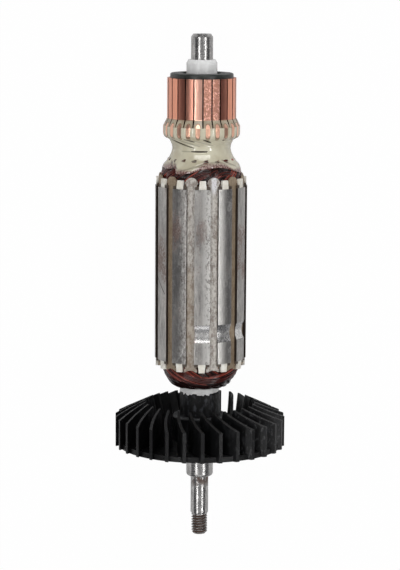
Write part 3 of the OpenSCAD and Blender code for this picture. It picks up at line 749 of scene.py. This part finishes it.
def makeHead(shape):
    rng = np.random.default_rng(shape["seed"])
    levels, radii = outline(shape["node"])
    # sign is +1 where the head stands beyond the core's commutator end
    sign = 1 if levels[0] > coreEnd - 1 else -1
    root = coreEnd if sign > 0 else coreStart
    heights, surfaceRadii = np.array(shape["surface"], float).T
    radii = np.interp(levels - levels[0], heights, surfaceRadii)
    profile = (levels, radii)
    t = np.linspace(0, 1, wire["segments"] + 1)
    layout = [(shape["start"] + k * 360 / shape["bundles"], shape["sweep"], shape["reach"],
               shape["sunkStart"], shape["sunkEnd"]) for k in range(shape["bundles"])]
    layout += [(start, sweep, reach, sunk, sunk) for start, sweep, reach, sunk in shape["last"]]
    strandPaths = []
    corePaths = []
    for start, sweep, reach, sunkStart, sunkEnd in layout:
        angle = front + np.radians(start + sweep * t)
        # the wires leave a slot and come back into another, or rise into the resin
        rise = np.sin(math.pi / 2 * t) if shape.get("rising") else np.sin(math.pi * t) ** 0.75
        station = root + sign * (shape["entry"] - 1.2 + (reach - shape["entry"] + 1.2) * rise)
        sunk = sunkStart + (sunkEnd - sunkStart) * t
        centre = (angle, station, sunk)
        strandPaths.append(bundleStrands(centre, profile, shape, rng))
        corePaths.append(place(station, np.interp(station, *profile) - sunk, angle))
    strands = np.concatenate(strandPaths)
    points, faceSets = tubes(strands, wire["diameter"] / 2, wire["diameter"] / 2, wire["sides"])
    tone = np.repeat(rng.uniform(0, 1, len(strands)), points.shape[0] // len(strands))
    makePiece(shape["name"], points, faceSets, "coil_enamel", [shape["node"]], 80, {"tone": tone})
    cores = np.stack(corePaths)
    corePoints, coreFaces = tubes(cores, shape["width"] / 2 - 0.2, shape["depth"] / 2 - 0.2, 14)
    makePiece(shape["name"].replace("strands", "filling"), corePoints, coreFaces, "coil_enamel", (), 80,
              {"tone": np.zeros(len(corePoints))})
    # the inner form follows the outline, sunk by the value inner
    innerStations = np.linspace(levels[0], levels[-1], 14)
    inner = np.interp(innerStations, levels, radii) - shape["inner"] * (1 - 0.55 * smoothStep(0, 1, np.abs(
        (innerStations - root) / (levels[-1] - levels[0]))))
    turned(shape["name"].replace("strands", "inner"), innerStations, inner, 96, "coil_enamel", ())


makeHead(heads["fan"])
makeHead(heads["commutator"])
print("winding heads made")


# The resin over the leads: a skirt on the winding, a neck and the ring between the hooks.

resinShape = {
    "columns": 480,
    "rows": 130,
    # height above the core and radius of the outline; the ring's lower end is rounded
    "outline": [
        (1.8, 14.95), (3.0, 15.05), (4.4, 15.1), (5.2, 15.1), (6.0, 14.8), (8.0, 13.85), (8.9, 12.95),
        (10.0, 12.15), (11.1, 11.55), (12.2, 11.05), (13.7, 10.68), (15.2, 10.9), (16.3, 11.35),
        (17.2, 11.95), (17.5, 12.7),
        (17.9, 13.3), (18.4, 13.7), (19.0, 13.9), (19.6, 13.97), (24.0, 13.97),
    ],
    "smoothing": 0.7,
    # lower edge of the skirt: degrees from the front and height above the core, the same behind
    "margin": [
        (-90, 7.0), (-65, 6.6), (-50, 7.0), (-43, 7.2), (-38, 5.2), (-28, 5.3), (-15, 5.9), (-2, 6.9),
        (11, 7.5), (28, 7.7), (46, 7.0), (62, 5.8), (75, 5.0), (90, 7.0),
    ],
    # grooves beside free leads: degrees and height of one end and of the other, half width, depth, painted
    # shade in the groove
    "grooves": [
        (-72, 17.7, -15, 14.5, 0.22, 0.30, 0.9), (-29.5, 17.7, -13, 16.8, 0.2, 0.3, 0.9),
        (3.5, 17.7, 17, 16.6, 0.28, 0.4, 1.0), (38, 17.8, 43, 17.3, 0.3, 0.4, 1.0),
        (-48, 17.5, -3, 15.2, 0.24, 0.12, 0.35), (-12, 17.3, 22, 15.5, 0.22, 0.1, 0.3),
        (-62, 9.8, -44, 6.6, 0.34, 0.25, 0.6), (-53, 9.6, -38, 7.0, 0.26, 0.15, 0.45),
        (38, 10.2, 66, 7.6, 0.3, 0.2, 0.4), (-20, 13.25, 12, 13.25, 0.28, 0.45, 1.0),
        (-42, 13.2, -21, 13.2, 0.22, 0.1, 0.35), (-36, 6.0, 4, 9.0, 0.25, 0.12, 0.4),
    ],
    "leadTurn": 18.0,  # degrees that a lead goes round for each millimetre down
    "leadHeight": 0.09,
    "mound": 0.17,  # height of the resin between the hooks
    "thinBand": 2.9,  # width of the band of thin resin over the winding's wires
    "skin": 0.5,
    "bore": 6.35,
    "neckRadius": 11.3,  # turns degrees into millimetres for the grooves
}


def makeResin():
    # radius = outline(height) + mounds + leads - grooves - fold, where the lead ridges are
    # cos(24 (angle + turn * height))
    shape = resinShape
    degrees = np.arange(shape["columns"]) * 360 / shape["columns"]
    fromFront = (degrees + 180) % 360 - 180
    half = (fromFront + 90) % 180 - 90
    margin = np.interp(half, *np.array(shape["margin"], float).T)
    fine = np.arange(-1.0, 26.0, 0.05)
    width = int(shape["smoothing"] / 0.05)
    outlineRadii = np.interp(fine, *np.array(shape["outline"], float).T)
    padded = np.pad(outlineRadii, width, "edge")
    outlineRadii = np.convolve(padded, np.ones(width) / width, "same")[width:-width]
    top = hookTop - coreEnd
    t = np.linspace(0, 1, shape["rows"])[:, None]
    height = margin[None, :] + (top - margin[None, :]) * t
    radius = np.interp(height, fine, outlineRadii)
    hookPhase = firstGap + 7.5
    ring = smoothStep(17.6, 19.0, height)
    radius = radius + shape["mound"] * ring * (1 - np.cos(np.radians(24 * (fromFront - hookPhase)))) / 2
    leads = np.cos(np.radians(24 * (fromFront - hookPhase + shape["leadTurn"] * (height - 17.8))))
    radius = radius + shape["leadHeight"] * leads * smoothStep(13.9, 16.4, height) * (1 - ring)
    gap = np.zeros_like(height)
    perDegree = math.radians(1) * shape["neckRadius"]
    for side in (0, 180):
        fromSide = (fromFront + side + 180) % 360 - 180
        for first, low, last, high, halfWidth, depth, dark in shape["grooves"]:
            x = fromSide * perDegree
            ax, bx = first * perDegree, last * perDegree
            length = (bx - ax) ** 2 + (high - low) ** 2
            along01 = np.clip(((x - ax) * (bx - ax) + (height - low) * (high - low)) / length, 0, 1)
            distance = np.hypot(x - ax - along01 * (bx - ax), height - low - along01 * (high - low))
            taper = halfWidth * (0.35 + 0.65 * np.sin(math.pi * np.clip(along01, 0.02, 0.98)) ** 0.5)
            cut = np.exp(-(distance / taper) ** 2)
            radius = radius - depth * cut
            # painted shade along the grooves and in the slit
            gap = np.maximum(gap, dark * np.exp(-(distance / (taper * 1.1)) ** 4))
    above = height - margin[None, :]
    fold = np.exp(-((above - 1.9) / 0.22) ** 2)
    fold = fold * smoothStep(-30, -10, half) * (1 - smoothStep(50, 66, half))
    radius = radius - 0.14 * fold
    # painted shade in the fold above the skirt's margin
    gap = np.maximum(gap, 0.3 * fold)
    radius = radius - 0.22 * (1 - smoothStep(0, 0.5, above))
    broadWave = 0.25 * np.sin(np.radians(half * 5))
    narrowWave = 0.2 * np.sin(np.radians(half * 11 + 40))
    reach = shape["thinBand"] * (0.75 + broadWave + narrowWave)
    thin = 1 - smoothStep(0.25, 1.0, above / reach)
    lowest = coreEnd + 8.05
    stations = coreEnd + height
    ringFoot = float(span("lead_resin")[1]) - 4.7
    flat = np.ones(shape["columns"])
    inner = [
        (coreEnd + top, 9.25), (ringFoot, 9.25), (ringFoot - 0.05, shape["bore"]), (lowest, shape["bore"]),
    ]
    innerStations = [station * flat for station, _ in inner]
    innerRadii = [r * flat for _, r in inner]
    for share in (0.0, 0.33, 0.66, 1.0):
        station = lowest - 0.05 + (stations[0] - lowest + 0.05) * share
        innerStations.append(station)
        innerRadii.append(np.interp(station - coreEnd, fine, outlineRadii) - shape["skin"])
    allStations = np.concatenate([stations, np.array(innerStations)])
    allRadii = np.concatenate([radius, np.array(innerRadii)])
    extra = np.zeros((len(innerStations), shape["columns"]))
    points = place(allStations, allRadii, front + np.radians(fromFront)[None, :])
    faces = gridFaces(len(allStations), shape["columns"], wrapRows=True)
    makePiece("resin_skin", points, [faces], "resin", ["lead_resin"], 50,
              {"thin": np.concatenate([thin, extra]), "gap": np.concatenate([gap, extra])})


makeResin()
print("resin made")


# The white insulation on the shaft, torn along its lower edge over the fan's hub.

tornShape = {
    "columns": 240, "lap": 0.35, "tear": 0.3,
    "waves": [(7, 0.4, 1.0), (13, 2.1, 0.7), (23, 4.4, 0.6), (41, 1.3, 0.35)],  # count, phase, size
    "overHub": 0.08, "from": -100.0, "to": 42.0,
}


def makeInsulator():
    # lower edge = flange - lap - tear * (sum of sines of the angle), within the angles from and to
    shape = tornShape
    degrees = np.arange(shape["columns"]) * 360 / shape["columns"]
    fromFront = (degrees + 180) % 360 - 180
    station, radius, _ = unrolled("shaft_insulator")
    flange = station.min()
    flangeRadius = radius.max()
    flangeTop = station[radius > flangeRadius - 0.02].max()
    tube = radius[station > flangeTop + 1].max()
    bore = radius.min()
    end = station.max()
    hubRadius = unrolled("fan")[1][np.abs(unrolled("fan")[0] - (flange - 0.6)) < 0.05].min()
    turns = np.radians(fromFront)
    waves = sum(size * np.sin(count * turns + phase) for count, phase, size in shape["waves"])
    begun = smoothStep(shape["from"] - 6, shape["from"], fromFront)
    ended = smoothStep(shape["to"] - 3, shape["to"] + 3, fromFront)
    full = begun * (1 - ended)
    lap = np.maximum(shape["lap"] + shape["tear"] * waves, 0.1) * full
    overChamfer = np.interp(lap, [0, 0.6], [hubRadius - 0.6, hubRadius]) + shape["overHub"]
    wide = flangeRadius + (hubRadius - flangeRadius - 0.05) * full
    flat = np.ones(shape["columns"])
    loop = [
        (flange - lap, overChamfer), (flange - 0.05 * flat, wide + 0.04 * waves * full),
        (flange + 0.6 * flat, wide), (flangeTop - 0.5 * flat, wide - 0.05), (flangeTop * flat, wide - 0.4),
        (flangeTop * flat, tube * flat),
        (end * flat, tube * flat), (end * flat, bore * flat), (flange + 0.05 * flat, bore * flat),
        (flange + 0.05 * flat, (hubRadius - 0.75) * flat),
    ]
    stations = np.array([row[0] for row in loop])
    radii = np.array([row[1] for row in loop])
    points = place(stations, radii, front + np.radians(fromFront)[None, :])
    makePiece("insulation_torn", points, [gridFaces(len(loop), shape["columns"], wrapRows=True)],
              "white_insulation", ["shaft_insulator"], 40)


makeInsulator()
print("insulation made")


# Materials of the nodes that keep their own solids.

slotOf = {
    "fan": "fan_plastic", "shaft_insulator": "white_insulation", "core": "core_steel",
    "end_insulator_fan_end": "end_plate", "end_insulator_commutator_end": "end_plate",
    "slot_coils": "coil_enamel", "lead_resin": "resin", "commutator_moulding": "moulding",
    "commutator_collar": "white_insulation",
}
for name, node in frame["nodes"].items():
    slotName = slotOf.get(name)
    if name.startswith("slot_liner"):
        slotName = "slot_liner"
    elif name.startswith("slot_wedge"):
        slotName = "slot_wedge"
    elif name.startswith("commutator_bar"):
        slotName = "bar_copper"
    if slotName:
        for slotIndex in range(len(node.material_slots)):
            node.material_slots[slotIndex].material = finishes[slotName]
print("nodes finished")


# Floor, lights and camera.

def frontDirection(degrees):
    # unit vector square to the shaft, turned by that angle from the front
    angle = front + math.radians(degrees)
    return math.cos(angle) * down + math.sin(angle) * across


def makeFloor():
    half = stageSetup["floorSize"] / 2
    level = boxAtLoad[0].z
    corners = [(-half, -half, level), (half, -half, level), (half, half, level), (-half, half, level)]
    mesh = bpy.data.meshes.new("floor")
    mesh.from_pydata(corners, [], [(0, 1, 2, 3)])
    f = Finish("floor_paper")
    diffuse = f.node("ShaderNodeBsdfDiffuse", {}, {"Color": stageSetup["floorColour"]})
    glow = f.node("ShaderNodeEmission", {}, {"Color": (1, 1, 1, 1), "Strength": 1.0})
    seen = f.node("ShaderNodeLightPath", {}, {}, "Is Camera Ray")
    both = f.node("ShaderNodeMixShader", {}, {0: seen * stageSetup["floorGlow"], 1: diffuse, 2: glow})
    f.node("ShaderNodeOutputMaterial", {}, {0: both})
    mesh.materials.append(f.material)
    floor = bpy.data.objects.new("floor", mesh)
    bpy.context.scene.collection.objects.link(floor)


def makeLights():
    scene = bpy.context.scene
    middle = place(cameraStation, 0.0, 0.0)
    for index, (degrees, width, length, shift, radiance) in enumerate(stageSetup["lights"]):
        data = bpy.data.lights.new(f"softbox_{index + 1}", "AREA")
        data.shape = "RECTANGLE"
        data.size = length
        data.size_y = 2 * stageSetup["lightDistance"] * math.tan(math.radians(width / 2))
        data.energy = radiance * math.pi * data.size * data.size_y
        light = bpy.data.objects.new(data.name, data)
        back = Vector(frontDirection(degrees))
        right = Vector(along)
        up = back.cross(right)
        place3 = Vector(middle) + stageSetup["lightDistance"] * back + shift * right
        light.matrix_world = Matrix.Translation(place3) @ Matrix((right, up, back)).transposed().to_4x4()
        scene.collection.objects.link(light)
    world = bpy.data.worlds.new("soft_grey")
    world.use_nodes = True
    world.node_tree.nodes["Background"].inputs["Color"].default_value = stageSetup["worldColour"]
    scene.world = world


def makeCamera():
    scene = bpy.context.scene
    rise = math.radians(stageSetup["cameraRise"])
    roll = math.radians(stageSetup["cameraRoll"])
    facing = Vector(frontDirection(0))
    axis = Vector(along)
    back = math.cos(rise) * facing + math.sin(rise) * axis
    right = axis.cross(facing)
    up = back.cross(right)
    target = Vector(place(cameraStation, 0.0, 0.0)) - 0.001 * stageSetup["cameraSide"] * right
    rolledRight = math.cos(roll) * right + math.sin(roll) * up
    rolledUp = math.cos(roll) * up - math.sin(roll) * right
    tilted = (rolledRight, rolledUp, back)
    data = bpy.data.cameras.new("camera")
    data.lens = stageSetup["lens"]
    data.sensor_width = 36.0
    data.clip_start = 0.01
    camera = bpy.data.objects.new("camera", data)
    place3 = target + 0.001 * stageSetup["cameraDistance"] * back
    camera.matrix_world = Matrix.Translation(place3) @ Matrix(tilted).transposed().to_4x4()
    scene.collection.objects.link(camera)
    scene.camera = camera


makeFloor()
makeLights()
makeCamera()
bpy.context.scene.view_settings.view_transform = "Standard"
print("floor, lights and camera set")
